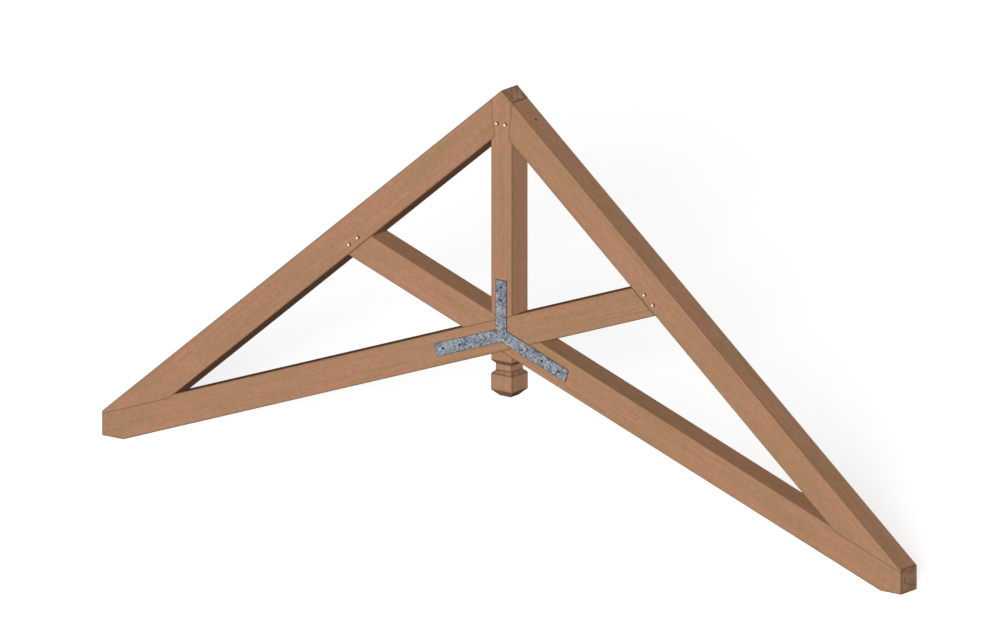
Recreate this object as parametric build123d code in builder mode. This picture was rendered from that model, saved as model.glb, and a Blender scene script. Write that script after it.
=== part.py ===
"""Heavy-timber scissor truss: five sawn timbers, pegged joints and a pair of bolted strap plates.

Millimetres, +Z up, X along the span, Y through the thickness of the timbers. The origin is midway
between the two level bearing seats, at their height. The front face is the one towards -Y.
"""

import os
from math import atan, cos, degrees

from build123d import *

os.makedirs("parts", exist_ok=True)

# Span and slopes of the whole truss
clear_span = 7315.2  # 24 ft between the inner edges of the seats
seat_length = 203.2  # each level seat, on an 8 in wall plate
rafter_slope = 10 / 12  # rise over run of the rafters
chord_slope = 4.31 / 12  # rise over run of the scissor chords

# Sawn sections
timber_thickness = 203.2  # 8 in, along Y, all five timbers
rafter_depth = 254.0  # 10 in
chord_depth = 254.0  # 10 in
post_width = 203.2  # 8 in
arris_chamfer = 3.0  # planed off the long edges of every timber

# Heel: the rafter foot is let into the chord's top
heel_housing = 25.4  # square to the chord's top

# Peak: the rafter butts on a sloped shoulder cut into the post
peak_housing = 38.1  # depth of the shoulder at the rafter's soffit
peak_tenon_top = 76.2  # from the rafter's top down to its tenon
peak_tenon_bottom = 25.4  # from the tenon down to the rafter's soffit
peak_tenon_gap = 3.0  # between the ends of the two tenons inside the post

# Upper chord joints: the chord's tenon goes into the opposite rafter's soffit
chord_tenon_length = 101.6  # square to the soffit
chord_tenon_relish = 25.4  # left off each edge of the chord
mortise_extra = 6.0  # room past the tenon's end

tenon_thickness = 50.8  # 2 in, all tenons
tenon_clearance = 0.5  # all round a tenon in its mortise

# Turned pegs
peg_diameter = 25.4
peg_clearance = 0.2  # radial, before the peg is driven
peg_proud = 19.0  # head, out of the front face
peg_tail = 20.0  # tapered end, out of the back face
peg_point_diameter = 17.0
peg_chamfer = 1.5
chord_peg_inset = 55.0  # from the rafter's soffit, square to it
chord_peg_spacing = 108.0  # along the rafter
chord_peg_shift = 5.0  # up the rafter, from the chord's centre line to the middle of the pair
peak_peg_spread = 80.0  # between the two pegs in the post
peak_peg_drop = 270.0  # below the apex

# Pendant carved on the post's lower end, from the top down
post_below_chords = 81.0  # full section, from the chords' underside at the middle
pendant_neck_inset = 27.0  # on all four faces, cut at 45 degrees above and below
pendant_neck_height = 54.0
pendant_block_height = 132.0
pendant_tip_inset = 50.0  # on all four faces, cut at 45 degrees

# Strap plates
plate_thickness = 9.525  # 3/8 in
arm_width = 108.0
post_arm_length = 442.0  # from the crossing's centre up the post
chord_arm_length = 676.0  # from the crossing's centre down each chord
post_bolt_end = 59.0  # from the arm's end to its first bolt
post_bolt_spacing = 105.0
chord_bolt_end = 83.0
chord_bolt_spacing = 172.0

# Bolts, 1/2 in
bolt_diameter = 12.7
bolt_hole_diameter = 14.3
bolt_head_width = 19.05  # across flats
bolt_head_height = 8.0
nut_height = 11.1
thread_past_nut = 3.0
thread_clearance = 0.2  # radial, between the bolt and the nut

# Worked-out sizes
half_span = clear_span / 2 + seat_length
rafter_angle = atan(rafter_slope)
chord_angle = atan(chord_slope)
heel_height = chord_depth / cos(chord_angle) - seat_length * chord_slope
half_post = post_width / 2
half_thickness = timber_thickness / 2
lap = timber_thickness / 3  # each timber's share where three of them cross
mortise_thickness = tenon_thickness + 2 * tenon_clearance
bolt_length = timber_thickness + 2 * plate_thickness + nut_height + thread_past_nut


def left_rafter_line(x, depth=0.0):
    """Height at x of the line that lies depth below the left rafter's top, square to it."""
    return heel_height + rafter_slope * (x + half_span) - depth / cos(rafter_angle)


def rising_chord_line(x, depth=0.0):
    """Height at x of the line that lies depth below the rising chord's top, square to it."""
    return heel_height + chord_slope * (x + half_span) - depth / cos(chord_angle)


def right_rafter_line(x, depth=0.0):
    return left_rafter_line(-x, depth)


def meet(line_a, depth_a, line_b, depth_b):
    """Point where a line of one timber crosses a line of another."""
    gap_at_zero = line_a(0, depth_a) - line_b(0, depth_b)
    gap_at_one = line_a(1, depth_a) - line_b(1, depth_b)
    x = gap_at_zero / (gap_at_zero - gap_at_one)
    return x, line_a(x, depth_a)


def mirrored(points):
    return [(-x, z) for x, z in points]


# Shoulder of the left rafter against the post, at its top and at its soffit
peak_shoulder_x = -half_post + peak_housing
peak_shoulder_top = (-half_post, left_rafter_line(-half_post))
peak_shoulder_bottom = (peak_shoulder_x, left_rafter_line(peak_shoulder_x, rafter_depth))

rafter_outline = [
    (-half_span, heel_height),
    peak_shoulder_top,
    peak_shoulder_bottom,
    meet(left_rafter_line, rafter_depth, rising_chord_line, heel_housing),
    (-half_span, rising_chord_line(-half_span, heel_housing)),
]


def peak_tenon_outline(clearance, end_x):
    """Left rafter's tenon inside the post, or its mortise."""
    top = peak_tenon_top - clearance
    bottom = rafter_depth - peak_tenon_bottom + clearance
    return [
        (-half_post, left_rafter_line(-half_post, top)),
        (end_x, left_rafter_line(end_x, top)),
        (end_x, left_rafter_line(end_x, bottom)),
        (-half_post, left_rafter_line(-half_post, bottom)),
    ]


def chord_tenon_outline(clearance, length):
    """Rising chord's tenon inside the right rafter, or its mortise."""
    top = chord_tenon_relish - clearance
    bottom = chord_depth - chord_tenon_relish + clearance
    end = rafter_depth - length
    return [
        meet(rising_chord_line, top, right_rafter_line, rafter_depth),
        meet(rising_chord_line, top, right_rafter_line, end),
        meet(rising_chord_line, bottom, right_rafter_line, end),
        meet(rising_chord_line, bottom, right_rafter_line, rafter_depth),
    ]


# The rising chord: seat, end cut, top, shoulder under the right rafter, underside
seat_inner_x = -half_span + seat_length
chord_outline = [
    (-half_span, 0),
    (-half_span, heel_height),
    meet(rising_chord_line, 0, right_rafter_line, rafter_depth),
    meet(rising_chord_line, chord_depth, right_rafter_line, rafter_depth),
    (seat_inner_x, 0),
]

# Crossing of the two chords' centre lines
crossing_height = rising_chord_line(0, chord_depth / 2)
underside_height = rising_chord_line(0, chord_depth)
apex_height = left_rafter_line(0)

# The post without its pendant, and the pendant's levels from the tip up with the inset of each
shaft_bottom = underside_height - post_below_chords
neck_top = shaft_bottom - pendant_neck_inset
neck_bottom = neck_top - pendant_neck_height
block_top = neck_bottom - pendant_neck_inset
block_bottom = block_top - pendant_block_height
pendant_levels = [
    (block_bottom - pendant_tip_inset, pendant_tip_inset),
    (block_bottom, 0),
    (block_top, 0),
    (neck_bottom, pendant_neck_inset),
    (neck_top, pendant_neck_inset),
    (shaft_bottom, 0),
]
post_outline = [
    (-half_post, shaft_bottom),
    peak_shoulder_top,
    (0, apex_height),
    (half_post, peak_shoulder_top[1]),
    (half_post, shaft_bottom),
]
chord_mortise = chord_tenon_outline(tenon_clearance, chord_tenon_length + mortise_extra)


def pendant_outline(half_width):
    """The pendant seen from the front or from the side."""
    one_side = [(half_width - inset, level) for level, inset in pendant_levels]
    return one_side + mirrored(one_side[::-1])


def up_right_rafter(start, distance):
    """Point that lies a distance from start, up the slope of the right rafter."""
    step = distance * cos(rafter_angle)
    return start[0] - step, start[1] + step * rafter_slope


def down_left(distance):
    """Point on the rising chord's centre line, a distance from the crossing towards the left heel."""
    step = distance * cos(chord_angle)
    return -step, crossing_height - step * chord_slope


# Pegs: two in the chord's tenon and one in the rafter's tenon, on each side
chord_joint_centre = meet(
    rising_chord_line, chord_depth / 2, right_rafter_line, rafter_depth - chord_peg_inset
)
right_peg_places = [
    up_right_rafter(chord_joint_centre, chord_peg_shift + chord_peg_spacing / 2),
    up_right_rafter(chord_joint_centre, chord_peg_shift - chord_peg_spacing / 2),
    (peak_peg_spread / 2, apex_height - peak_peg_drop),
]
peg_places = right_peg_places + mirrored(right_peg_places)

# Bolts: two up the post and two down each chord
post_bolt_places = [
    (0, crossing_height + post_arm_length - post_bolt_end - step * post_bolt_spacing) for step in range(2)
]
left_bolt_places = [
    down_left(chord_arm_length - chord_bolt_end - step * chord_bolt_spacing) for step in range(2)
]
bolt_places = post_bolt_places + left_bolt_places + mirrored(left_bolt_places)

# The plate's three arms, each by its turn from +X and its length
arms = [
    (90, post_arm_length),
    (180 + degrees(chord_angle), chord_arm_length),
    (-degrees(chord_angle), chord_arm_length),
]

# Every peg and bolt hole of the truss, as one cutter
with BuildPart() as drillings:
    with BuildSketch(Plane.XZ):
        with Locations(*peg_places):
            Circle(peg_diameter / 2 + peg_clearance)
        with Locations(*bolt_places):
            Circle(bolt_hole_diameter / 2)
    extrude(amount=half_thickness, both=True)

with BuildPart() as left_rafter:
    with BuildSketch(Plane.XZ):
        Polygon(*rafter_outline, align=None)
    extrude(amount=half_thickness, both=True)
    # The four long edges
    chamfer(edges().sort_by(SortBy.LENGTH)[-4:], length=arris_chamfer)
    # Tenon into the post
    with BuildSketch(Plane.XZ):
        Polygon(*peak_tenon_outline(0, -peak_tenon_gap / 2), align=None)
    extrude(amount=tenon_thickness / 2, both=True)
    # Mortise for the falling chord's tenon
    with BuildSketch(Plane.XZ):
        Polygon(*mirrored(chord_mortise), align=None)
    extrude(amount=mortise_thickness / 2, both=True, mode=Mode.SUBTRACT)
    add(drillings.part, mode=Mode.SUBTRACT)

with BuildPart() as right_rafter:
    mirror(left_rafter.part, about=Plane.YZ)

# Either chord before its lap, lying as the rising one
with BuildPart() as sawn_chord:
    with BuildSketch(Plane.XZ):
        Polygon(*chord_outline, align=None)
    extrude(amount=half_thickness, both=True)
    # The four long edges
    chamfer(edges().sort_by(SortBy.LENGTH)[-4:], length=arris_chamfer)
    # Housing for the rafter foot
    with BuildSketch(Plane.XZ):
        Polygon(*rafter_outline, align=None)
    extrude(amount=half_thickness, both=True, mode=Mode.SUBTRACT)
    # Tenon into the right rafter
    with BuildSketch(Plane.XZ):
        Polygon(*chord_tenon_outline(0, chord_tenon_length), align=None)
    extrude(amount=tenon_thickness / 2, both=True)
    add(drillings.part, mode=Mode.SUBTRACT)

# Three-way lap: each timber keeps one third of the thickness where all of them cross.
# The rising chord runs whole in front, the post runs whole at the back.
with BuildPart() as rising_chord:
    add(sawn_chord.part)
    with BuildSketch(Plane.XZ.offset(-half_thickness)):
        Polygon(*mirrored(chord_outline), align=None)
        Polygon(*post_outline, align=None)
    extrude(amount=half_thickness + lap / 2, mode=Mode.SUBTRACT)

with BuildPart() as falling_chord:
    mirror(sawn_chord.part, about=Plane.YZ)
    with BuildSketch(Plane.XZ.offset(lap / 2)):
        Polygon(*chord_outline, align=None)
    extrude(amount=lap, mode=Mode.SUBTRACT)
    with BuildSketch(Plane.XZ.offset(-half_thickness)):
        Polygon(*post_outline, align=None)
    extrude(amount=lap, mode=Mode.SUBTRACT)

# Pendant: one outline sawn through from the front and again from the side
with BuildPart() as pendant:
    with BuildSketch(Plane.XZ):
        Polygon(*pendant_outline(half_post), align=None)
    extrude(amount=half_thickness, both=True)
    with BuildSketch(Plane.YZ):
        Polygon(*pendant_outline(half_thickness), align=None)
    extrude(amount=half_post, both=True, mode=Mode.INTERSECT)

with BuildPart() as king_post:
    with BuildSketch(Plane.XZ):
        Polygon(*post_outline, align=None)
    extrude(amount=half_thickness, both=True)
    # The four long edges, stopped at the pendant
    chamfer(edges().filter_by(Axis.Z), length=arris_chamfer)
    add(pendant.part)
    # Sloped shoulders and the through mortise for the rafters
    with BuildSketch(Plane.XZ):
        Polygon(*rafter_outline, align=None)
        Polygon(*mirrored(rafter_outline), align=None)
    extrude(amount=half_thickness, both=True, mode=Mode.SUBTRACT)
    with BuildSketch(Plane.XZ):
        Polygon(*peak_tenon_outline(tenon_clearance, 0), align=None)
        Polygon(*mirrored(peak_tenon_outline(tenon_clearance, 0)), align=None)
    extrude(amount=mortise_thickness / 2, both=True, mode=Mode.SUBTRACT)
    # Its share of the lap
    with BuildSketch(Plane.XZ.offset(lap / 2)):
        Polygon(*chord_outline, align=None)
    extrude(amount=lap, mode=Mode.SUBTRACT)
    with BuildSketch(Plane.XZ.offset(-lap / 2)):
        Polygon(*mirrored(chord_outline), align=None)
    extrude(amount=2 * lap, mode=Mode.SUBTRACT)
    add(drillings.part, mode=Mode.SUBTRACT)

# Strap plate, an upside-down Y on the centre lines of the post and the chords
with BuildPart() as front_strap_plate:
    with BuildSketch(Plane.XZ.offset(half_thickness)):
        for arm_angle, arm_length in arms:
            with Locations(Location((0, crossing_height), arm_angle)):
                Rectangle(arm_length, arm_width, align=(Align.MIN, Align.CENTER))
        with Locations(*bolt_places):
            Circle(bolt_hole_diameter / 2, mode=Mode.SUBTRACT)
    extrude(amount=plate_thickness)

with BuildPart() as back_strap_plate:
    mirror(front_strap_plate.part, about=Plane.XZ)

pieces = {
    "left_rafter": left_rafter,
    "right_rafter": right_rafter,
    "rising_chord": rising_chord,
    "falling_chord": falling_chord,
    "king_post": king_post,
    "front_strap_plate": front_strap_plate,
    "back_strap_plate": back_strap_plate,
}

# Bolt at the origin: the underside of its head lies in the plane Y = 0, the shank runs to +Y
with BuildPart() as bolt:
    with BuildSketch(Plane.XZ):
        RegularPolygon(bolt_head_width / 2, side_count=6, major_radius=False)
    extrude(amount=bolt_head_height)
    with BuildSketch(Plane.XZ):
        Circle(bolt_diameter / 2)
    extrude(amount=-bolt_length)

# Nut at the origin: its seat lies in the plane Y = 0
with BuildPart() as nut:
    with BuildSketch(Plane.XZ):
        RegularPolygon(bolt_head_width / 2, side_count=6, major_radius=False)
        Circle(bolt_diameter / 2 + thread_clearance, mode=Mode.SUBTRACT)
    extrude(amount=-nut_height)

# Peg at the origin: its head's end lies in the plane Y = 0, and it tapers past the back face
with BuildPart() as peg:
    with BuildSketch(Plane.XY):
        Polygon(
            (0, 0),
            (peg_diameter / 2 - peg_chamfer, 0),
            (peg_diameter / 2, peg_chamfer),
            (peg_diameter / 2, peg_proud + timber_thickness),
            (peg_point_diameter / 2, peg_proud + timber_thickness + peg_tail),
            (0, peg_proud + timber_thickness + peg_tail),
            align=None,
        )
    revolve(axis=Axis.Y)

for number, (x, z) in enumerate(bolt_places, start=1):
    with BuildPart() as placed_bolt:
        with Locations((x, -half_thickness - plate_thickness, z)):
            add(bolt.part)
    with BuildPart() as placed_nut:
        with Locations((x, half_thickness + plate_thickness, z)):
            add(nut.part)
    pieces[f"strap_bolt_{number}"] = placed_bolt
    pieces[f"strap_nut_{number}"] = placed_nut

for number, (x, z) in enumerate(peg_places, start=1):
    with BuildPart() as placed_peg:
        with Locations((x, -half_thickness - peg_proud, z)):
            add(peg.part)
    pieces[f"peg_{number}"] = placed_peg

for name, piece in pieces.items():
    piece.part.label = name
    export_step(piece.part, f"parts/{name}.step")

print(f"{len(pieces)} pieces, {2 * half_span:.1f} mm long, apex at {apex_height:.1f} mm")
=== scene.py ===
# %% [markdown]
# A heavy-timber scissor truss
#
# Two rafters meet at a king post. Two chords cross in the middle like open scissors, and each runs from one
# heel up to the opposite rafter. The joints are pegged, and a pair of steel plates is bolted over the
# crossing.
#
# The timbers, plates and fasteners already exist as exact solids. This lesson gives them their finish: sawn
# softwood with rings that run through the block, hot-dip galvanised steel, dark bolts and pale pegs. Only
# the bolts, nuts and pegs are shaped anew, to give them threads, coned corners and rounded heads.

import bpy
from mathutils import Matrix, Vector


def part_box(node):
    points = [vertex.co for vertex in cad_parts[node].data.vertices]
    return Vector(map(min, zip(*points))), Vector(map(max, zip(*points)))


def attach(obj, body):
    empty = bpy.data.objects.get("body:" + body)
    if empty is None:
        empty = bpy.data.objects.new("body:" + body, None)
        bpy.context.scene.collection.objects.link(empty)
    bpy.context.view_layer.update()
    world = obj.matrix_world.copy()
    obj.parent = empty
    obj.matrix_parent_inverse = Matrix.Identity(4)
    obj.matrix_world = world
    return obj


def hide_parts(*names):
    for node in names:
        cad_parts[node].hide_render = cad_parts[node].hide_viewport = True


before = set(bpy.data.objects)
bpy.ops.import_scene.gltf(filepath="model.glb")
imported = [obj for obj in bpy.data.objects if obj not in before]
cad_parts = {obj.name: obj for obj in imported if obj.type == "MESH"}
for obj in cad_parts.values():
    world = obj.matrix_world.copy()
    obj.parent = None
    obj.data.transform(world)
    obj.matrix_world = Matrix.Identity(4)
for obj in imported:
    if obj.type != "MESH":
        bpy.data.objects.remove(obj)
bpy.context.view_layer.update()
print("nodes:", len(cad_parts))

# %% Tools of the lesson
import math
from dataclasses import dataclass

import bmesh
import bpy
from mathutils import Color, Euler, Vector

MM = 0.001
TIMBERS = ("left_rafter", "right_rafter", "rising_chord", "falling_chord", "king_post")
PLATES = ("front_strap_plate", "back_strap_plate")
scene = bpy.context.scene
scene.view_settings.view_transform = "Standard"


def numbered(stem):
    """Names of the nodes that share a stem and end in a number, in order."""
    return sorted(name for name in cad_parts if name.startswith(stem))


bolts, nuts, pegs = numbered("strap_bolt_"), numbered("strap_nut_"), numbered("peg_")
print("bolts, nuts and pegs:", len(bolts), len(nuts), len(pegs))

# %% [markdown]
# Camera
#
# The picture is a parallel projection: edges that are parallel on the truss stay parallel in it. A long lens
# from far away would come close to that. An orthographic camera does exactly that, and its scale is simply
# how many metres the frame is wide. The camera stands to the right of the truss and a little above it, and
# the truss sits a little below the frame's middle.

# %% Camera
CAMERA_AZIMUTH = math.radians(36.7196)
CAMERA_ELEVATION = math.radians(15.544)
FRAME_WIDTH = 7.7476
ORIGIN_ACROSS = 0.0731  # the seats' midpoint lies this far right of the frame's centre
ORIGIN_BELOW = 1.4731  # and this far below it
CAMERA_DISTANCE = 20.0

turn = Euler((math.pi / 2 - CAMERA_ELEVATION, 0, CAMERA_AZIMUTH))
right, up, back = turn.to_matrix().transposed()
camera = bpy.data.objects.new("camera", bpy.data.cameras.new("camera"))
camera.data.type = "ORTHO"
camera.data.ortho_scale = FRAME_WIDTH
camera.data.clip_end = 10 * CAMERA_DISTANCE
camera.rotation_euler = turn
camera.location = back * CAMERA_DISTANCE - right * ORIGIN_ACROSS + up * ORIGIN_BELOW
scene.collection.objects.link(camera)
scene.camera = camera
print("camera looks along", [round(value, 3) for value in -back])

# %% [markdown]
# Nodes
#
# Materials and Geometry Nodes are both node trees, so one small workbench serves both. It adds a node of any
# kind: the settings come first, because some of them change which sockets exist, and then the sockets get
# their values or links. The nodes could be added and linked one by one, but then no formula could be read in
# them. So a wire stands for one output, and arithmetic on wires adds Math nodes, and a formula in a material
# reads as it would on paper.

# %% One way to add a node


class Wire:
    """One output of a node. Arithmetic on it adds Math nodes."""

    def __init__(self, bench, socket):
        self.bench = bench
        self.socket = socket

    def math(self, operation, *operands):
        """The result of a Math node on one or two operands."""
        sockets = dict(zip(("Value", "Value_001"), operands))
        return self.bench.node("ShaderNodeMath", {"operation": operation}, sockets)["Value"]

    def __add__(self, other):
        return self.math("ADD", self, other)

    def __radd__(self, other):
        return self.math("ADD", other, self)

    def __sub__(self, other):
        return self.math("SUBTRACT", self, other)

    def __rsub__(self, other):
        return self.math("SUBTRACT", other, self)

    def __mul__(self, other):
        return self.math("MULTIPLY", self, other)

    def __rmul__(self, other):
        return self.math("MULTIPLY", other, self)

    def __truediv__(self, other):
        return self.math("DIVIDE", self, other)

    def __rtruediv__(self, other):
        return self.math("DIVIDE", other, self)

    def __pow__(self, other):
        return self.math("POWER", self, other)

    def __rpow__(self, other):
        return self.math("POWER", other, self)

    def __abs__(self):
        return self.math("ABSOLUTE", self)

    def least(self, other):
        return self.math("MINIMUM", self, other)

    def most(self, other):
        return self.math("MAXIMUM", self, other)

    def fraction(self):
        return self.math("FRACT", self)

    def cosine(self):
        return self.math("COSINE", self)


class Bench:
    """A node tree and the one method that adds nodes to it."""

    def __init__(self, tree):
        self.tree = tree
        tree.nodes.clear()

    def node(self, kind, settings=None, sockets=None):
        """Adds a node, and returns its outputs as wires by socket identifier."""
        made = self.tree.nodes.new(kind)
        for name, value in (settings or {}).items():
            setattr(made, name, value)
        for identifier, value in (sockets or {}).items():
            socket = next(one for one in made.inputs if one.identifier == identifier)
            if isinstance(value, Wire):
                self.tree.links.new(value.socket, socket)
            else:
                socket.default_value = value
        return {one.identifier: Wire(self, one) for one in made.outputs}


trial = Bench(bpy.data.node_groups.new("trial", "ShaderNodeTree"))
answer = 1 - trial.node("ShaderNodeTexNoise")["Fac"] * 0.5
print("1 - noise * 0.5 is", len(trial.tree.nodes), "nodes and ends in", answer.socket.node.operation)
bpy.data.node_groups.remove(trial.tree)

# %% Vectors, mixing and materials


def vector_math(bench, operation, sockets, result="Vector"):
    """The result of a Vector Math node: Vector, or Value where it is a number."""
    return bench.node("ShaderNodeVectorMath", {"operation": operation}, sockets)[result]


def scaled(bench, vector, factor):
    """A vector or a colour, times a number."""
    return vector_math(bench, "SCALE", {"Vector": vector, "Scale": factor})


def split(bench, vector):
    """The parts of a vector, as wires named X, Y and Z."""
    return bench.node("ShaderNodeSeparateXYZ", None, {"Vector": vector})


def ease(bench, value, low, high):
    """0 up to low, 1 from high on, and a smooth step between them."""
    sockets = {"Value": value, "From Min": low, "From Max": high}
    return bench.node("ShaderNodeMapRange", {"interpolation_type": "SMOOTHSTEP"}, sockets)["Result"]


def paint(red, green, blue):
    """A colour given as screen values from 0 to 255, as the linear light that nodes work in."""
    return (*Color((red / 255, green / 255, blue / 255)).from_srgb_to_scene_linear(), 1.0)


def blend_colours(bench, share, first, second):
    """Two colours mixed: none of the second at a share of 0, all of it at 1."""
    sockets = {"Factor_Float": share, "A_Color": first, "B_Color": second}
    return bench.node("ShaderNodeMix", {"data_type": "RGBA"}, sockets)["Result_Color"]


def bump(bench, height, strength, depth):
    """The normal of a surface with fine relief that isn't modelled."""
    sockets = {"Height": height, "Strength": strength, "Distance": depth}
    return bench.node("ShaderNodeBump", None, sockets)["Normal"]


def finish_material(name, sockets, constants):
    """A material with one Principled shader: sockets is a function from its bench to the shader's wires."""
    material = bpy.data.materials.new(name)
    material.use_nodes = True
    bench = Bench(material.node_tree)
    shader = bench.node("ShaderNodeBsdfPrincipled", None, {**constants, **sockets(bench)})["BSDF"]
    bench.node("ShaderNodeOutputMaterial", None, {"Surface": shader})
    return material


def dress(name, material):
    """Gives a solid of the truss its finish, and leaves its shape alone."""
    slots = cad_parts[name].data.materials
    slots.clear()
    slots.append(material)
    print(f"{name}: {material.name}, {len(material.node_tree.nodes)} nodes")


print("a middle grey in linear light:", [round(value, 3) for value in paint(128, 128, 128)])

# %% [markdown]
# Light
#
# The front faces are the brightest, the faces towards the right have about six tenths of their light, and
# the soffits and the chord tops that are seen edge on are nearly dark. Light from all around, as from a
# cloudy sky, would fill those in. So one broad lamp from beside the camera does nearly all of it. A weaker
# one from behind and one from the left light the sides that this camera doesn't see. The left one shines a
# little upwards, as light does that a pale floor throws back, so it stays off the edge-on tops. A lamp's
# level is the brightness of a white card that faces it, so a colour renders about as it is written.

# %% Lamps


def lamp(name, towards, level, softness):
    """A far lamp in a direction as seen from the truss. softness is the width of the lamp in degrees."""
    light = bpy.data.lights.new(name, "SUN")
    light.energy = math.pi * level
    light.angle = math.radians(softness)
    made = bpy.data.objects.new(name, light)
    made.rotation_euler = Vector(towards).to_track_quat("Z", "Y").to_euler()
    scene.collection.objects.link(made)


lamp("key_lamp", towards=(0.56, -0.94, 0.255), level=1.12, softness=12)
lamp("back_lamp", towards=(0.0, 1.0, 0.0), level=0.75, softness=10)
lamp("left_lamp", towards=(-0.92, 0.2, -0.33), level=0.75, softness=10)
print("lamps:", [item.name for item in bpy.data.lights])

# %% [markdown]
# Sky and floor
#
# The background is white, but white light from all around would fill the dark soffits. Light Path tells what
# kind of ray asks: the camera, a mirror or a pane of glass sees white, and the truss itself is lit by a dim
# sky. The floor does the same. Part of its white is its own glow and part is lamp light, so that the truss
# still lays a soft shadow on it. The floor itself casts none, because the left lamp shines from below its
# level.

# %% Sky
SKY_LEVEL = 0.04
WHITE = (1.0, 1.0, 1.0, 1.0)


def seen_ray(bench):
    """1 where the camera, a reflection or glass looks, and 0 for the light that falls on the truss."""
    path = bench.node("ShaderNodeLightPath")
    return path["Is Camera Ray"].most(path["Is Glossy Ray"]).most(path["Is Transmission Ray"])


scene.world = bpy.data.worlds.new("sky")
scene.world.use_nodes = True
sky = Bench(scene.world.node_tree)
sky_strength = SKY_LEVEL + seen_ray(sky) * (1 - SKY_LEVEL)
background = sky.node("ShaderNodeBackground", None, {"Color": WHITE, "Strength": sky_strength})["Background"]
sky.node("ShaderNodeOutputWorld", None, {"Surface": background})
print("sky nodes:", len(sky.tree.nodes))

# %% Floor
FLOOR_HALF_WIDTH = 60.0
FLOOR_GLOW = 0.82
FLOOR_COLOUR = (0.75, 0.75, 0.75, 1.0)
FLOOR_COLOUR_FOR_TRUSS = (0.10, 0.10, 0.10, 1.0)

floor_mesh = bpy.data.meshes.new("floor")
corners = [(x * FLOOR_HALF_WIDTH, y * FLOOR_HALF_WIDTH, 0) for x, y in ((-1, -1), (1, -1), (1, 1), (-1, 1))]
floor_mesh.from_pydata(corners, [], [(0, 1, 2, 3)])
floor = bpy.data.objects.new("floor", floor_mesh)
scene.collection.objects.link(floor)
floor.visible_shadow = False

floor_material = bpy.data.materials.new("floor")
floor_material.use_nodes = True
bench = Bench(floor_material.node_tree)
seen = seen_ray(bench)
floor_colour = blend_colours(bench, seen, FLOOR_COLOUR_FOR_TRUSS, FLOOR_COLOUR)
lit = bench.node("ShaderNodeBsdfDiffuse", None, {"Color": floor_colour})["BSDF"]
glow = bench.node("ShaderNodeEmission", None, {"Color": WHITE, "Strength": seen * FLOOR_GLOW})["Emission"]
both = bench.node("ShaderNodeAddShader", None, {"Shader": lit, "Shader_001": glow})["Shader"]
bench.node("ShaderNodeOutputMaterial", None, {"Surface": both})
floor_mesh.materials.append(floor_material)
print("floor:", 2 * FLOOR_HALF_WIDTH, "m square")

# %% [markdown]
# Where each timber lies
#
# Grain runs along a timber, so its figure needs the timber's own axes: x along the grain, y through the
# thickness, z across the depth. They could be typed in for each timber, but the frame has them. Of the faces
# that run through the thickness, the biggest is a rafter's or chord's top or soffit, or a side of the post,
# and the grain lies in that face.

# %% Flats and axes of a timber
SMALLEST_FLAT = 1e-4  # square metres, above the facets of a drilled hole
FLAT_MATCH = 0.5 * MM


@dataclass
class Flat:
    """A flat face: its outward normal, its distance from the origin along that, and its area."""

    normal: Vector
    offset: float
    area: float = 0.0


def flats_of(name):
    """The flat faces of a solid. Triangles that lie in one plane and face one way are one flat."""
    flats = []
    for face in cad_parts[name].data.polygons:
        if face.area < SMALLEST_FLAT:
            continue
        offset = face.normal.dot(face.center)
        for flat in flats:
            if abs(flat.offset - offset) < FLAT_MATCH and (flat.normal - face.normal).length < FLAT_MATCH:
                flat.area += face.area
                break
        else:
            flats.append(Flat(face.normal.copy(), offset, face.area))
    return flats


def timber_axes(name):
    """Centre of a timber, its turn about Y, and its length and depth, all from its solid."""
    through = [flat for flat in flats_of(name) if abs(flat.normal.y) < FLAT_MATCH]
    across = max(through, key=lambda flat: flat.area).normal
    across = across if across.z > FLAT_MATCH or across.x < -FLAT_MATCH else -across
    along = Vector((across.z, 0, -across.x))
    points = [vertex.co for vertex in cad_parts[name].data.vertices]
    spans = [[point.dot(axis) for point in points] for axis in (along, across)]
    middles = [(min(span) + max(span)) / 2 for span in spans]
    sizes = [max(span) - min(span) for span in spans]
    return along * middles[0] + across * middles[1], math.atan2(along.z, along.x), sizes


for name in TIMBERS:
    centre, angle, sizes = timber_axes(name)
    print(f"{name}: grain at {math.degrees(angle):.2f} degrees, {sizes[0]:.3f} x {sizes[1]:.3f} m")

# %% [markdown]
# Figure of the wood
#
# A sawn timber is a piece of a trunk. Flat pictures of wood on its faces would break at every edge. The rings
# of the trunk are long tubes around its pith, so one solid pattern gives straight lines on one face, arches
# on the next and circles on the end, and they meet at every edge. The pattern is the distance from a
# wandering pith. Over it lie broad patches of pinker, greener and warmer wood, which are noise drawn out
# along the grain, and so are the streaks and fibres.

# %% Figure along the grain


@dataclass
class Figure:
    """A random figure in wood: its seed, its size across and along the grain in metres, and its detail."""

    seed: int
    width: float
    length: float
    detail: float = 2.0

    def draw(self, bench, place, timber_seed):
        """The figure, from 0 to 1, at a place in a timber."""
        scale = (1 / self.length, 1 / self.width, 1 / self.width)
        stretched = bench.node("ShaderNodeMapping", None, {"Vector": place, "Scale": scale})["Vector"]
        sockets = {"Vector": stretched, "W": timber_seed + self.seed, "Scale": 1.0, "Detail": self.detail}
        return bench.node("ShaderNodeTexNoise", {"noise_dimensions": "4D"}, sockets)["Fac"]


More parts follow.
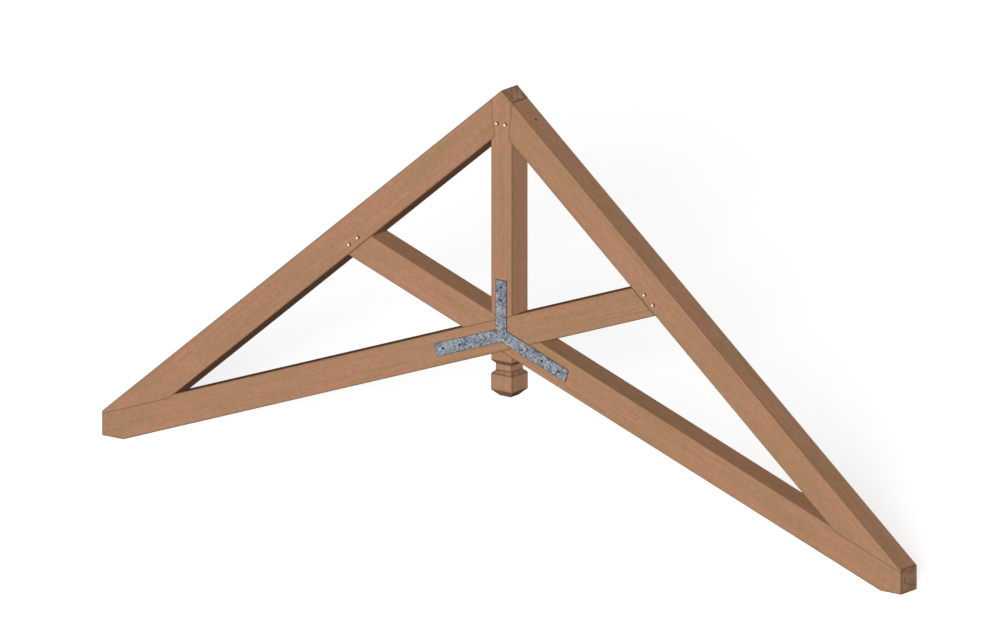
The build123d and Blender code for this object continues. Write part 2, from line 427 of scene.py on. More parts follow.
PITH_SIDEWAYS = Figure(seed=1, width=0.30, length=1.6)
PITH_UPWARDS = Figure(seed=2, width=0.30, length=1.9)
RING_WAVER = Figure(seed=3, width=0.02, length=0.5)
PINK_PATCHES = Figure(seed=4, width=0.12, length=0.6, detail=3.0)
STREAKS = Figure(seed=5, width=0.016, length=1.2, detail=3.0)
FIBRES = Figure(seed=6, width=0.0014, length=0.06)
OLIVE_PATCHES = Figure(seed=7, width=0.07, length=0.25)
ORANGE_PATCHES = Figure(seed=8, width=0.06, length=0.20)
MOTTLE = Figure(seed=9, width=0.035, length=0.05, detail=3.0)
print("streaks are", round(STREAKS.length / STREAKS.width), "times as long as wide")

# %% Growth rings
RING_WIDTH = 5 * MM
RING_WAVER_WIDTH = 0.8  # in rings
LATE_WOOD_SHARPNESS = 2.5
PITH_SIDE = 20 * MM  # how far the pith lies from the middle of the timber, through its thickness
PITH_HEIGHT = -30 * MM  # and across its depth
PITH_WANDER = 26 * MM


def wander(bench, place, seed, figure):
    """How far the pith strays at a place, up to its wander either way."""
    return (figure.draw(bench, place, seed) - 0.5) * (2 * PITH_WANDER)


def growth_rings(bench, place, seed):
    """From 0 in the pale early wood to 1 in the dark late wood of each ring."""
    axes = split(bench, place)
    sideways = axes["Y"] - PITH_SIDE + wander(bench, place, seed, PITH_SIDEWAYS)
    upwards = axes["Z"] - PITH_HEIGHT + wander(bench, place, seed, PITH_UPWARDS)
    distance = (sideways * sideways + upwards * upwards) ** 0.5
    rings = distance / RING_WIDTH + RING_WAVER.draw(bench, place, seed) * RING_WAVER_WIDTH
    return rings.fraction() ** LATE_WOOD_SHARPNESS


print("rings of", RING_WIDTH / MM, "mm")

# %% Patches of colour
TAN_WOOD = paint(170, 132, 100)
PINK_WOOD = paint(179, 133, 106)
OLIVE_WOOD = paint(168, 134, 95)
ORANGE_WOOD = paint(186, 131, 89)
OLIVE_SHARE = 0.5
ORANGE_SHARE = 0.8


def patched_wood(bench, place, seed):
    """Tan wood with broad pink patches, and smaller ones of olive and orange."""
    pink = ease(bench, PINK_PATCHES.draw(bench, place, seed), low=0.38, high=0.62)
    olive = ease(bench, OLIVE_PATCHES.draw(bench, place, seed), low=0.56, high=0.72)
    orange = ease(bench, ORANGE_PATCHES.draw(bench, place, seed), low=0.60, high=0.76)
    colour = blend_colours(bench, pink, TAN_WOOD, PINK_WOOD)
    colour = blend_colours(bench, olive * OLIVE_SHARE, colour, OLIVE_WOOD)
    return blend_colours(bench, orange * ORANGE_SHARE, colour, ORANGE_WOOD)


print("tan wood in linear light:", [round(value, 3) for value in TAN_WOOD])

# %% [markdown]
# Knots
#
# A knot is the root of a branch. Chance could scatter knots through the wood, but this truss shows a single
# small one, on top of the right rafter below the peak. So each knot has its place in the timber's own axes,
# and the wood turns dark inside a ball round it. The saw shows that ball as a round spot.

# %% Knots


@dataclass
class Knot:
    """A knot in a timber's own axes, in metres from its centre, and the knot's radius."""

    along: float
    through: float
    above: float
    radius: float


KNOTS = {"right_rafter": [Knot(along=-2.22, through=0.0, above=0.127, radius=0.018)]}


def knot_mask(bench, place, knots):
    """1 at the heart of each knot and 0 outside it."""
    mask = 0.0
    for knot in knots:
        sockets = {"Vector": place, "Vector_001": (knot.along, knot.through, knot.above)}
        distance = vector_math(bench, "DISTANCE", sockets, "Value")
        mask = (1 - ease(bench, distance, low=0.5 * knot.radius, high=knot.radius)).most(mask)
    return mask


print("timbers with knots:", list(KNOTS))

# %% [markdown]
# Edges and seams
#
# Dust and finish gather along the edges of a big timber, and the seams between two lie in shade. From a
# distance both draw every joint as a thin dark line, partly dust and partly painted shade. Thin strips of
# dark mesh could lie there, but they would stand proud of the wood. A point is on an edge when it is close
# to two faces at once. So the material measures how deep a point lies below each outer face of its timber,
# and darkens the wood where the second smallest of those depths is still only a few millimetres.

# %% Depths below a timber's faces
SIDE_BAND = 10 * MM


def outer_flats(name):
    """The flats that bound a timber: no corner on its front or back face lies outside them."""
    points = [vertex.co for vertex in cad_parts[name].data.vertices]
    half_thickness = max(point.y for point in points)
    corners = [point for point in points if abs(point.y) > half_thickness - SIDE_BAND]
    outer = []
    for flat in flats_of(name):
        square = abs(flat.normal.y) < FLAT_MATCH or abs(flat.normal.y) > 1 - FLAT_MATCH
        if square and max(flat.normal.dot(corner) for corner in corners) < flat.offset + FLAT_MATCH:
            outer.append(flat)
    return outer


def depths_below(bench, point, flats):
    """How deep a point lies below each of some flats."""
    depths = []
    for flat in flats:
        sockets = {"Vector": point, "Vector_001": flat.normal}
        depths.append(flat.offset - vector_math(bench, "DOT_PRODUCT", sockets, "Value"))
    return depths


for name in TIMBERS:
    print(name, "outer flats:", len(outer_flats(name)))

# %% Depths below the pendant's faces
PENDANT_LEVELS = 6
LEAST_TURN = 0.5  # a change of the outline's slope that counts as a corner


def post_levels():
    """Heights at which the carved lower end of the post turns in or out, from its tip up."""
    widths = {}
    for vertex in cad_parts["king_post"].data.vertices:
        height = round(vertex.co.z, 4)
        widths[height] = max(widths.get(height, 0), vertex.co.x)
    heights = sorted(widths)
    slopes = [(widths[high] - widths[low]) / (high - low) for low, high in zip(heights, heights[1:])]
    levels = heights[:1]
    for height, below, above in zip(heights[1:], slopes, slopes[1:]):
        if abs(above - below) > LEAST_TURN:
            levels.append(height)
    return levels[:PENDANT_LEVELS]


def pendant_depths(bench, point):
    """Depths below the four upright sides of the post, which step in at its neck and at its tip."""
    _, block_bottom, block_top, _, neck_top, shaft_bottom = post_levels()
    half_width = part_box("king_post")[1].x
    axes = split(bench, point)
    height = axes["Z"]
    into_neck = (shaft_bottom - height).least(height - block_top).most(0.0).least(shaft_bottom - neck_top)
    into_tip = (block_bottom - height).most(0.0)
    width_here = half_width - into_neck - into_tip
    return [width_here - abs(axes["X"]), width_here - abs(axes["Y"])]


def pendant_lines(bench, point):
    """Distance from each level where one cut of the pendant meets the next."""
    height = split(bench, point)["Z"]
    return [abs(height - level) for level in post_levels()[1:]]


print("pendant levels:", post_levels())

# %% Edge lines
EDGE_DARK = 4 * MM
EDGE_CLEAR = 10 * MM


def edge_dust_and_shade_mask(bench, point, name):
    """1 on the edges and seams of a timber, where dust and painted shade go, and 0 away from them."""
    flats = outer_flats(name)
    lines = []
    if name == "king_post":
        sloped = [flat for flat in flats if flat.normal.z > FLAT_MATCH]
        depths = depths_below(bench, point, sloped) + pendant_depths(bench, point)
        lines = pendant_lines(bench, point)
    else:
        depths = depths_below(bench, point, flats)
    nearest, second = depths[0].least(depths[1]), depths[0].most(depths[1])
    for depth in depths[2:]:
        second = second.least(nearest.most(depth))
        nearest = nearest.least(depth)
    for line in lines:
        second = second.least(line)
    return 1 - ease(bench, second, EDGE_DARK, EDGE_CLEAR)


print("edge lines fade from", EDGE_DARK / MM, "to", EDGE_CLEAR / MM, "mm")

# %% [markdown]
# Stains round the pegs
#
# A wooden peg is oiled so that it goes in, and the oil soaks into the timber round it as a thin dark ring. A
# separate dark ring could be modelled, but a stain has no thickness. So the timber's own material measures
# how far a point lies from the axis of each peg.

# %% Stains round the pegs
STAIN_DARK = 1 * MM
STAIN_CLEAR = 6 * MM


def peg_stains(bench, point):
    """1 in a thin ring round each peg and 0 away from it."""
    mask = 0.0
    for name in pegs:
        low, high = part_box(name)
        centre = (low + high) / 2
        flattened = vector_math(bench, "MULTIPLY", {"Vector": point, "Vector_001": (1.0, 0.0, 1.0)})
        sockets = {"Vector": flattened, "Vector_001": (centre.x, 0.0, centre.z)}
        outside = vector_math(bench, "DISTANCE", sockets, "Value") - (high.x - low.x) / 2
        mask = (1 - ease(bench, outside, STAIN_DARK, STAIN_CLEAR)).most(mask)
    return mask


print("stains round", len(pegs), "pegs, clear from", STAIN_CLEAR / MM, "mm on")

# %% [markdown]
# Timber
#
# One material for all the timbers would run its grain the same way through all of them. So each timber gets
# its own, from one function, with its own axes and seed. The end grain is darker and greyer, because it
# drinks the finish. The undersides are darker and greyer too, and that is painted shade. Which faces those
# are follows from their normals.

# %% End grain and undersides
END_GRAIN_FROM = 0.3  # sine of the angle between a face and the grain
END_GRAIN_FULL = 0.7


def end_grain_mask(bench, normal, angle):
    """1 on the faces that are cut across the grain."""
    sockets = {"Vector": normal, "Vector_001": (math.cos(angle), 0, math.sin(angle))}
    across_grain = vector_math(bench, "DOT_PRODUCT", sockets, "Value")
    return ease(bench, abs(across_grain), END_GRAIN_FROM, END_GRAIN_FULL)


def painted_underside_shade_mask(bench, normal):
    """1 on the faces that look down, which get painted shade."""
    return ease(bench, 0 - split(bench, normal)["Z"], low=0.2, high=0.6)


print("end grain from", round(math.degrees(math.asin(END_GRAIN_FROM))), "degrees off the grain")

# %% Timber finish
LATE_WOOD = paint(143, 102, 74)
KNOT_WOOD = paint(112, 72, 50)
# colour of the edges and seams: partly dust, partly painted shade
EDGE_DUST_AND_SHADE_WOOD = paint(118, 89, 68)
# grey of the end grain's own tone, and of the painted shade on the undersides
GREY_END_AND_SHADE_WOOD = paint(150, 130, 114)
LATE_WOOD_SHARE = 0.22
LATE_WOOD_MORE_ON_ENDS = 0.3
GREYING_OF_ENDS_AND_SHADE = 0.25
END_GRAIN_SHADE = 0.11
# how much darker the undersides are painted, as shade
PAINTED_UNDERSIDE_SHADE = 0.24
EDGE_DUST_AND_SHADE_STRENGTH = 0.7
STAIN_STRENGTH = 0.65
BRIGHTNESS = 1.03
STREAK_CONTRAST = 0.4
FIBRE_CONTRAST = 0.2
MOTTLE_CONTRAST = 0.4
MOTTLE_MORE_ON_ENDS = 1.4


def timber_finish(name, seed, knots):
    """The solid wood of one timber."""
    centre, angle, _ = timber_axes(name)

    def sockets(bench):
        texture = bench.node("ShaderNodeTexCoord")
        point, normal = texture["Object"], texture["Normal"]
        turned = {"Vector": point, "Location": centre, "Rotation": (0, -angle, 0)}
        place = bench.node("ShaderNodeMapping", {"vector_type": "TEXTURE"}, turned)["Vector"]
        rings = growth_rings(bench, place, seed)
        streaks, fibres, mottle = (kind.draw(bench, place, seed) for kind in (STREAKS, FIBRES, MOTTLE))
        end_grain = end_grain_mask(bench, normal, angle)
        painted_underside_shade = painted_underside_shade_mask(bench, normal)
        # Undersides turn greyer as painted shade, and end grain by its own tone.
        greyed_ends_and_painted_shade = end_grain.most(painted_underside_shade) * GREYING_OF_ENDS_AND_SHADE
        late_wood = rings * (LATE_WOOD_SHARE + LATE_WOOD_MORE_ON_ENDS * end_grain)
        colour = blend_colours(bench, greyed_ends_and_painted_shade, patched_wood(bench, place, seed), GREY_END_AND_SHADE_WOOD)
        colour = blend_colours(bench, late_wood, colour, LATE_WOOD)
        colour = blend_colours(bench, knot_mask(bench, place, knots), colour, KNOT_WOOD)
        brightness = BRIGHTNESS + (streaks - 0.5) * STREAK_CONTRAST + (fibres - 0.5) * FIBRE_CONTRAST
        brightness = brightness + (mottle - 0.5) * (MOTTLE_CONTRAST + end_grain * MOTTLE_MORE_ON_ENDS)
        # End grain is darker by its own tone, and the undersides by painted shade.
        shade = (1 - end_grain * END_GRAIN_SHADE) * (1 - painted_underside_shade * PAINTED_UNDERSIDE_SHADE)
        colour = scaled(bench, colour, brightness * shade)
        # Dark lines on the edges and seams: partly dust, partly painted shade.
        edges = edge_dust_and_shade_mask(bench, point, name) * EDGE_DUST_AND_SHADE_STRENGTH
        stains = peg_stains(bench, point) * STAIN_STRENGTH
        return {
            "Base Color": blend_colours(bench, edges.most(stains), colour, EDGE_DUST_AND_SHADE_WOOD),
            "Roughness": 0.78 - rings * 0.12,
            "Normal": bump(bench, fibres * 0.6 + rings * 0.4, strength=0.25, depth=0.6 * MM),
        }

    return finish_material(f"{name}_wood", sockets, {"Specular IOR Level": 0.0})


print("late wood in linear light:", [round(value, 3) for value in LATE_WOOD])

# %% Dress the timbers
SEEDS_PER_TIMBER = 10.0

for number, name in enumerate(TIMBERS):
    dress(name, timber_finish(name, SEEDS_PER_TIMBER * number, KNOTS.get(name, ())))

# %% [markdown]
# Galvanised plates
#
# Zinc freezes on hot steel in crystals of a centimetre or so, and the surface dulls to a mottled blue grey.
# Plain noise would give soft clouds without crystals, so Voronoi cells are the crystals: every cell gets its
# own grey and its own gloss, and noise bends their borders. The plates are cut from rolled sheet. Their cut
# edges stay darker than their faces, and so does a narrow rim, where the bath drains off. The rim needs the
# depth of a point below the outline of the plate. Both plates have the same outline, of three arms that
# overlap in the middle, so that depth is the greatest of the depths below the outline of each arm.

# %% Rim of a plate


def arms_of(name):
    """The arms of a plate, each as the flats round it: its end, two sides, and one inside the other arms."""
    edges = [flat for flat in flats_of(name) if abs(flat.normal.y) < FLAT_MATCH]
    arms = []
    for end in edges:
        sides = [side for side in edges if abs(side.normal.dot(end.normal)) < FLAT_MATCH]
        if len(sides) == 2:
            arms.append([end, *sides])
    _, one, other = next(arm for arm in arms if abs(arm[0].normal.x) > FLAT_MATCH)
    middle = Vector((0, 0, (one.offset - other.offset) / 2 / one.normal.z))
    half_width = (one.offset + other.offset) / 2
    for arm in arms:
        inwards = -arm[0].normal
        arm.append(Flat(inwards, half_width + inwards.dot(middle)))
    return arms


def rim_depth(bench, point, name):
    """How deep a point lies below the outline of a plate."""
    deepest = 0.0
    for arm in arms_of(name):
        end, one_side, other_side, inner = depths_below(bench, point, arm)
        deepest = end.least(one_side).least(other_side).least(inner).most(deepest)
    return deepest


print("arms of a plate:", len(arms_of(PLATES[0])))

# %% Galvanised steel
SPANGLE = 12 * MM
SPANGLE_SWAY = 8 * MM
RIM_DARK = 3 * MM
RIM_CLEAR = 8 * MM
DARK_ZINC = paint(84, 90, 98)
PALE_ZINC = paint(172, 177, 179)
VIOLET_ZINC = paint(128, 124, 158)
TEAL_ZINC = paint(134, 158, 168)
SPECK_ZINC = paint(66, 72, 90)
RIM_ZINC = paint(84, 84, 90)
CUT_STEEL = paint(74, 66, 63)
VIOLET_SHARE = 0.4
TEAL_SHARE = 0.3
SPECK_SHARE = 0.5
RIM_SHARE = 0.75


def spots(bench, place, per_metre, detail):
    """Soft random spots, about so many to a metre: one value as Fac, and three others as Color."""
    return bench.node("ShaderNodeTexNoise", None, {"Vector": place, "Scale": per_metre, "Detail": detail})


def crystals(bench, place):
    """Three random tones from 0 to 1, each the same all over a crystal of zinc."""
    sway = scaled(bench, spots(bench, place, per_metre=60.0, detail=2.0)["Color"], SPANGLE_SWAY)
    moved = vector_math(bench, "ADD", {"Vector": place, "Vector_001": sway})
    cells = bench.node("ShaderNodeTexVoronoi", None, {"Vector": moved, "Scale": 1 / SPANGLE})
    return bench.node("ShaderNodeSeparateColor", None, {"Color": cells["Color"]})


def galvanised(bench):
    """Zinc with its spangle, tints, specks, rim and cut edges."""
    texture = bench.node("ShaderNodeTexCoord")
    place = texture["Object"]
    tone = crystals(bench, place)
    clouds = spots(bench, place, per_metre=160.0, detail=4.0)["Fac"]
    drift = spots(bench, place, per_metre=22.0, detail=2.0)["Fac"]
    specks = ease(bench, spots(bench, place, per_metre=90.0, detail=1.0)["Fac"], low=0.58, high=0.68)
    patches = spots(bench, place, per_metre=14.0, detail=1.0)
    tint = bench.node("ShaderNodeSeparateColor", None, {"Color": patches["Color"]})
    violet = ease(bench, tint["Green"], low=0.48, high=0.66) * VIOLET_SHARE
    teal = ease(bench, tint["Blue"], low=0.48, high=0.66) * TEAL_SHARE
    rim = 1 - ease(bench, rim_depth(bench, place, PLATES[0]), RIM_DARK, RIM_CLEAR)
    cut_edge = 1 - ease(bench, abs(split(bench, texture["Normal"])["Y"]), low=0.4, high=0.6)
    grey = ease(bench, tone["Red"] * 0.7 + clouds * 0.5 + drift * 1.1, low=0.77, high=1.57)
    colour = blend_colours(bench, grey, DARK_ZINC, PALE_ZINC)
    colour = blend_colours(bench, violet, colour, VIOLET_ZINC)
    colour = blend_colours(bench, teal, colour, TEAL_ZINC)
    colour = blend_colours(bench, specks * SPECK_SHARE, colour, SPECK_ZINC)
    colour = blend_colours(bench, rim * RIM_SHARE, colour, RIM_ZINC)
    return {
        "Base Color": blend_colours(bench, cut_edge, colour, CUT_STEEL),
        "Roughness": 0.56 + tone["Green"] * 0.2,
        "Normal": bump(bench, grey, strength=0.3, depth=0.5 * MM),
    }


galvanised_steel = finish_material("galvanised_steel", galvanised, {"Metallic": 0.7})
for name in PLATES:
    dress(name, galvanised_steel)

# %% [markdown]
# Bolts and nuts
#
# A hexagon head is turned as well as forged: its corners are cut by a cone. Seen from the side that leaves
# an arch on each flat. A cone could be cut from a prism with a Boolean, but both shapes also follow from
# rings of points, which give cleaner faces. A ring of the hexagon is as far out as the flat in that
# direction, and the cone's edge on it is lower the further out it lies.

# %% Shapes from rings
RING_POINTS = 36


def hexagon_radius(turn, flats):
    """Distance from the axis to a hexagon of that width across flats."""
    sector = math.pi / 3
    return flats / 2 / math.cos((turn % sector) - sector / 2)


def ring(radius, depth):
    """Points round the Y axis. radius and depth are numbers or functions of the turn."""
    points = []
    for step in range(RING_POINTS):
        turn = 2 * math.pi * step / RING_POINTS
        out = radius(turn) if callable(radius) else radius
        deep = depth(turn) if callable(depth) else depth
        points.append((out * math.cos(turn), deep, out * math.sin(turn)))
    return points


def skin(name, rings, closed):
    """An object over rings in a row, with a flat cap at each end, or closed on itself like a tube."""
    shape = bmesh.new()
    loops = [[shape.verts.new(point) for point in points] for points in rings]
    for first, second in zip(loops, loops[1:] + loops[:1] if closed else loops[1:]):
        for step in range(RING_POINTS):
            following = (step + 1) % RING_POINTS
            shape.faces.new((first[step], first[following], second[following], second[step]))
    if not closed:
        shape.faces.new(loops[0])
        shape.faces.new(loops[-1])
    bmesh.ops.recalc_face_normals(shape, faces=shape.faces)
    mesh = bpy.data.meshes.new(name)
    shape.to_mesh(mesh)
    shape.free()
    return bpy.data.objects.new(name, mesh)


print("a hexagon's corners lie", round(hexagon_radius(0, 2), 4), "times as far out as its flats")

# %% Sizes of the hardware, from the frame


def size_of(name):
    """Width, depth and height of a node."""
    low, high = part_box(name)
    return high - low


plate_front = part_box("front_strap_plate")[0].y
plate_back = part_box("back_strap_plate")[1].y
head_flats = size_of(bolts[0]).z
head_height = plate_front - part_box(bolts[0])[0].y
bolt_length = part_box(bolts[0])[1].y - plate_front
nut_height = size_of(nuts[0]).y
thread_end = bolt_length - nut_height - (plate_back - plate_front)
print("head across", round(head_flats / MM, 2), "mm, thread past the nut", round(thread_end / MM, 2), "mm")

# %% One bolt and one nut
BOLT_RADIUS = 12.7 / 2 * MM
THREAD_PITCH = 12 / 7 * MM
THREAD_DEPTH = 1.0 * MM
CONE_START = 0.94  # radius of the flat top, as a share of the half width across flats
CONE_SLOPE = math.tan(math.radians(30))

top_radius = CONE_START * head_flats / 2


def hexagon(turn):
    """Distance from the axis to the flats of a head or a nut."""
    return hexagon_radius(turn, head_flats)


def cone_drop(turn):
    """How far below the flat top the cone meets the hexagon."""
    return (hexagon(turn) - top_radius) * CONE_SLOPE


def thread_rings():
    """Rings of the thread, from where the nut starts to near the bolt's tip: crests and roots by turns."""
    thread_turns = round((thread_end + nut_height) / THREAD_PITCH)
    rings = []
    for half_turn in reversed(range(2 * thread_turns)):
        depth = bolt_length - THREAD_DEPTH - half_turn * THREAD_PITCH / 2
        rings.append(ring(BOLT_RADIUS - (half_turn % 2) * THREAD_DEPTH, depth))
    return rings


bolt_rings = [
    ring(top_radius, -head_height),
    ring(hexagon, lambda turn: cone_drop(turn) - head_height),
    ring(hexagon, 0),
    ring(BOLT_RADIUS, 0),
    *thread_rings(),
    ring(BOLT_RADIUS - THREAD_DEPTH, bolt_length),
]
nut_rings = [
    ring(top_radius, 0),
    ring(hexagon, cone_drop),
    ring(hexagon, lambda turn: nut_height - cone_drop(turn)),
    ring(top_radius, nut_height),
    ring(BOLT_RADIUS + THREAD_DEPTH, nut_height),
    ring(BOLT_RADIUS, nut_height - THREAD_DEPTH),
    ring(BOLT_RADIUS, THREAD_DEPTH),
    ring(BOLT_RADIUS + THREAD_DEPTH, 0),
]
bolt = skin("bolt", bolt_rings, closed=False)
nut = skin("nut", nut_rings, closed=True)
print("faces of a bolt:", len(bolt.data.polygons), "and of a nut:", len(nut.data.polygons))

# %% [markdown]
# Hardware in its holes
#
# The six bolts are one shape in six places, and a wrench leaves each at its own turn. A loop could copy and
# turn the shape, but Geometry Nodes do it in one step: a cloud of points, one instance on each, and a seeded
# random turn about the bolt's axis. The result is realized, because a later program can't read instances,
# and kept as a plain mesh.

# %% A tree that sets a fastener on each point


def new_tree(name, inputs):
    """A Geometry Nodes tree with a bench for it, and its named inputs as wires."""
    tree = bpy.data.node_groups.new(name, "GeometryNodeTree")
    tree.interface.new_socket("Geometry", in_out="OUTPUT", socket_type="NodeSocketGeometry")
    identifiers = {}
    for label, kind in inputs.items():
        socket = tree.interface.new_socket(label, in_out="INPUT", socket_type=f"NodeSocket{kind}")
        identifiers[label] = socket.identifier
    bench = Bench(tree)
    wires = bench.node("NodeGroupInput")
    return bench, {label: wires[identifier] for label, identifier in identifiers.items()}


def close_tree(bench, instances, material):
    """Ends a tree: real geometry instead of instances, with its material."""
    real = bench.node("GeometryNodeRealizeInstances", None, {"Geometry": instances})["Geometry"]
    finish = {"Geometry": real, "Material": material}
    dressed = bench.node("GeometryNodeSetMaterial", None, finish)["Geometry"]
    result = next(item.identifier for item in bench.tree.interface.items_tree if item.in_out == "OUTPUT")
    bench.node("NodeGroupOutput", None, {result: dressed})


fastener_inputs = {"Geometry": "Geometry", "Part": "Object", "Seed": "Int", "Material": "Material"}
bench, given = new_tree("fasteners", fastener_inputs)
part_sockets = {"Object": given["Part"]}
part = bench.node("GeometryNodeObjectInfo", {"transform_space": "ORIGINAL"}, part_sockets)["Geometry"]
turns = {"Min": (0.0, 0.0, 0.0), "Max": (0.0, 2 * math.pi, 0.0), "Seed": given["Seed"]}
random_turn = bench.node("FunctionNodeRandomValue", {"data_type": "FLOAT_VECTOR"}, turns)["Value"]
rotation = bench.node("FunctionNodeEulerToRotation", None, {"Euler": random_turn})["Rotation"]
on_points = {"Points": given["Geometry"], "Instance": part, "Rotation": rotation}
set_parts = bench.node("GeometryNodeInstanceOnPoints", None, on_points)["Instances"]
close_tree(bench, set_parts, given["Material"])
fastener_tree = bench.tree
print("fasteners:", [node.name for node in fastener_tree.nodes])

# %% [markdown]
# Pegs
#
# A peg is turned on a lathe, so its shape is a rule: the radius at each distance along its axis. It is full
# for most of the length, rounds over at the head, and tapers at the tail so that it can be driven through.
# Its profile could be spun as a mesh, but a rule is clearer as nodes. The tree draws a straight curve,
# crowds its points towards the two ends where the radius changes, and sweeps a circle along it that is
# scaled by the rule.

# %% A tree that turns a peg and drives it in on each point
PEG_RINGS = 28
PEG_SIDES = 24
peg_inputs = {
    "Geometry": "Geometry",
    "Length": "Float",
    "Diameter": "Float",
    "Head rounding": "Float",
    "Tail length": "Float",
    "Tail diameter": "Float",
    "Material": "Material",
}
bench, given = new_tree("turned_pegs", peg_inputs)
line = bench.node("GeometryNodeCurvePrimitiveLine")["Curve"]
rings_of_peg = {"Curve": line, "Count": PEG_RINGS}
line = bench.node("GeometryNodeResampleCurve", {"mode": "COUNT"}, rings_of_peg)["Curve"]
share = bench.node("GeometryNodeSplineParameter")["Index"] / (PEG_RINGS - 1)
deep = given["Length"] * (1 - (share * math.pi).cosine()) / 2
on_axis = bench.node("ShaderNodeCombineXYZ", None, {"Y": deep})["Vector"]
line = bench.node("GeometryNodeSetPosition", None, {"Geometry": line, "Position": on_axis})["Geometry"]
rounding = given["Head rounding"]
short_of_body = (rounding - deep).most(0.0)
head_inset = rounding - (rounding * rounding - short_of_body * short_of_body).most(0.0) ** 0.5
into_tail = (deep - (given["Length"] - given["Tail length"])).most(0.0) / given["Tail length"]
tail_inset = into_tail * (given["Diameter"] - given["Tail diameter"]) / 2
radius = given["Diameter"] / 2 - head_inset - tail_inset
circle_sockets = {"Resolution": PEG_SIDES, "Radius": 1.0}
circle = bench.node("GeometryNodeCurvePrimitiveCircle", None, circle_sockets)["Curve"]
swept = {"Curve": line, "Profile Curve": circle, "Scale": radius, "Fill Caps": True}
one_peg = bench.node("GeometryNodeCurveToMesh", None, swept)["Mesh"]
on_points = {"Points": given["Geometry"], "Instance": one_peg}
driven = bench.node("GeometryNodeInstanceOnPoints", None, on_points)["Instances"]
close_tree(bench, driven, given["Material"])
peg_tree = bench.tree
print("turned_pegs:", len(peg_tree.nodes), "nodes")

# %% [markdown]
# Finish of the hardware
#
# The bolts and nuts are plain steel, with the dark skin that it leaves the forge with. One flat dark colour
# would look like plastic, so noise makes the skin lighter and rougher in places. The pegs are dry hardwood.
# Their ends are cut across the grain and stay pale, and their sides are darker: painted shade.

# %% Bolt steel
DARK_SKIN = paint(40, 42, 50)
PALE_SKIN = paint(70, 71, 79)


def forged_steel(bench):
    """Steel with the dark, uneven skin of the forge."""
    place = bench.node("ShaderNodeTexCoord")["Object"]
    scale_marks = spots(bench, place, per_metre=300.0, detail=3.0)["Fac"]
    pale = ease(bench, scale_marks, low=0.35, high=0.7)
    return {
        "Base Color": blend_colours(bench, pale, DARK_SKIN, PALE_SKIN),
        "Roughness": 0.5 + scale_marks * 0.2,
        "Normal": bump(bench, scale_marks, strength=0.2, depth=0.2 * MM),
    }


fastener_finish = finish_material("forged_steel", forged_steel, {"Metallic": 0.5})
print("finish of the bolts and nuts:", fastener_finish.name)

# %% Peg wood
FIBRES_PER_METRE = (3500.0, 100.0, 3500.0)  # a peg's grain runs along Y
# the sides of a peg are painted darker, as shade
DARK_SHADED_PEG_SIDE = paint(92, 62, 42)
PALE_SHADED_PEG_SIDE = paint(136, 98, 70)
DARK_PEG_END = paint(236, 224, 206)
PALE_PEG_END = paint(252, 246, 234)


def turned_hardwood(bench):
    """Hardwood that is pale on its ends, with painted shade on its sides."""
    texture = bench.node("ShaderNodeTexCoord")
    end_grain = ease(bench, abs(split(bench, texture["Normal"])["Y"]), low=0.78, high=0.95)
    stretch = {"Vector": texture["Object"], "Scale": FIBRES_PER_METRE}
    stretched = bench.node("ShaderNodeMapping", None, stretch)["Vector"]
    fibres = spots(bench, stretched, per_metre=1.0, detail=2.0)["Fac"]  # each already stretched to a metre
    # Painted shade on the sides of the peg.
    side = blend_colours(bench, fibres, DARK_SHADED_PEG_SIDE, PALE_SHADED_PEG_SIDE)
    end = blend_colours(bench, fibres, DARK_PEG_END, PALE_PEG_END)
    return {
        "Base Color": blend_colours(bench, end_grain, side, end),
        "Roughness": 0.55 + fibres * 0.2,
        "Normal": bump(bench, fibres, strength=0.2, depth=0.3 * MM),
    }


peg_finish = finish_material("turned_hardwood", turned_hardwood, {"Specular IOR Level": 0.2})
print("finish of the pegs:", peg_finish.name)

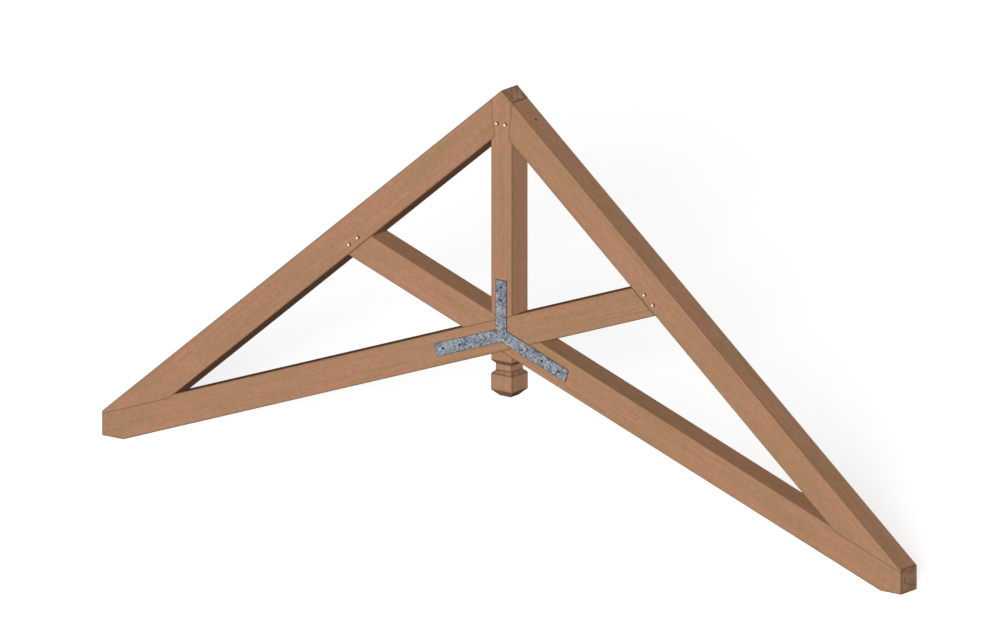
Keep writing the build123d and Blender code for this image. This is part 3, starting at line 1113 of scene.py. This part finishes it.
# %% Grow the bolts, nuts and pegs
WRENCH_SEED = 5
PEG_HEAD_ROUNDING = 4.5 * MM
PEG_TAIL_LENGTH = 20 * MM
PEG_TAIL_DIAMETER = 17 * MM
SHARP_ANGLE = math.radians(30)


def places(names, depth):
    """Centres of nodes across the truss, all at one depth along Y."""
    centres = [(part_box(name)[0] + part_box(name)[1]) / 2 for name in names]
    return [(centre.x, depth, centre.z) for centre in centres]


def grow(name, tree, points, values):
    """Runs a tree on points, and keeps the result as a plain mesh in an object at the origin."""
    cloud = bpy.data.meshes.new(f"{name}_places")
    cloud.from_pydata(points, [], [])
    piece = bpy.data.objects.new(name, cloud)
    scene.collection.objects.link(piece)
    modifier = piece.modifiers.new(tree.name, "NODES")
    modifier.node_group = tree
    for item in tree.interface.items_tree:
        if item.name in values:
            modifier[item.identifier] = values[item.name]
    evaluated = piece.evaluated_get(bpy.context.evaluated_depsgraph_get())
    grown = bpy.data.meshes.new_from_object(evaluated)
    piece.modifiers.remove(modifier)
    piece.data = grown
    grown.shade_smooth()
    grown.set_sharp_from_angle(angle=SHARP_ANGLE)
    print(f"{name}: {len(grown.polygons)} faces")
    return piece


steel = {"Seed": WRENCH_SEED, "Material": fastener_finish}
strap_bolts = grow("strap_bolts", fastener_tree, places(bolts, plate_front), {**steel, "Part": bolt})
strap_nuts = grow("strap_nuts", fastener_tree, places(nuts, plate_back), {**steel, "Part": nut})
peg_sizes = {
    "Length": size_of(pegs[0]).y,
    "Diameter": size_of(pegs[0]).x,
    "Head rounding": PEG_HEAD_ROUNDING,
    "Tail length": PEG_TAIL_LENGTH,
    "Tail diameter": PEG_TAIL_DIAMETER,
    "Material": peg_finish,
}
joint_pegs = grow("joint_pegs", peg_tree, places(pegs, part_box(pegs[0])[0].y), peg_sizes)
for pattern in (bolt, nut):
    bpy.data.objects.remove(pattern)

# %% Pieces that stand for solids


def set_piece(piece, nodes):
    """Declares a piece that stands for some solids of the truss."""
    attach(piece, "root")
    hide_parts(*nodes)
    print(f"{piece.name} stands for {len(nodes)} solids")


set_piece(strap_bolts, bolts)
set_piece(strap_nuts, nuts)
set_piece(joint_pegs, pegs)
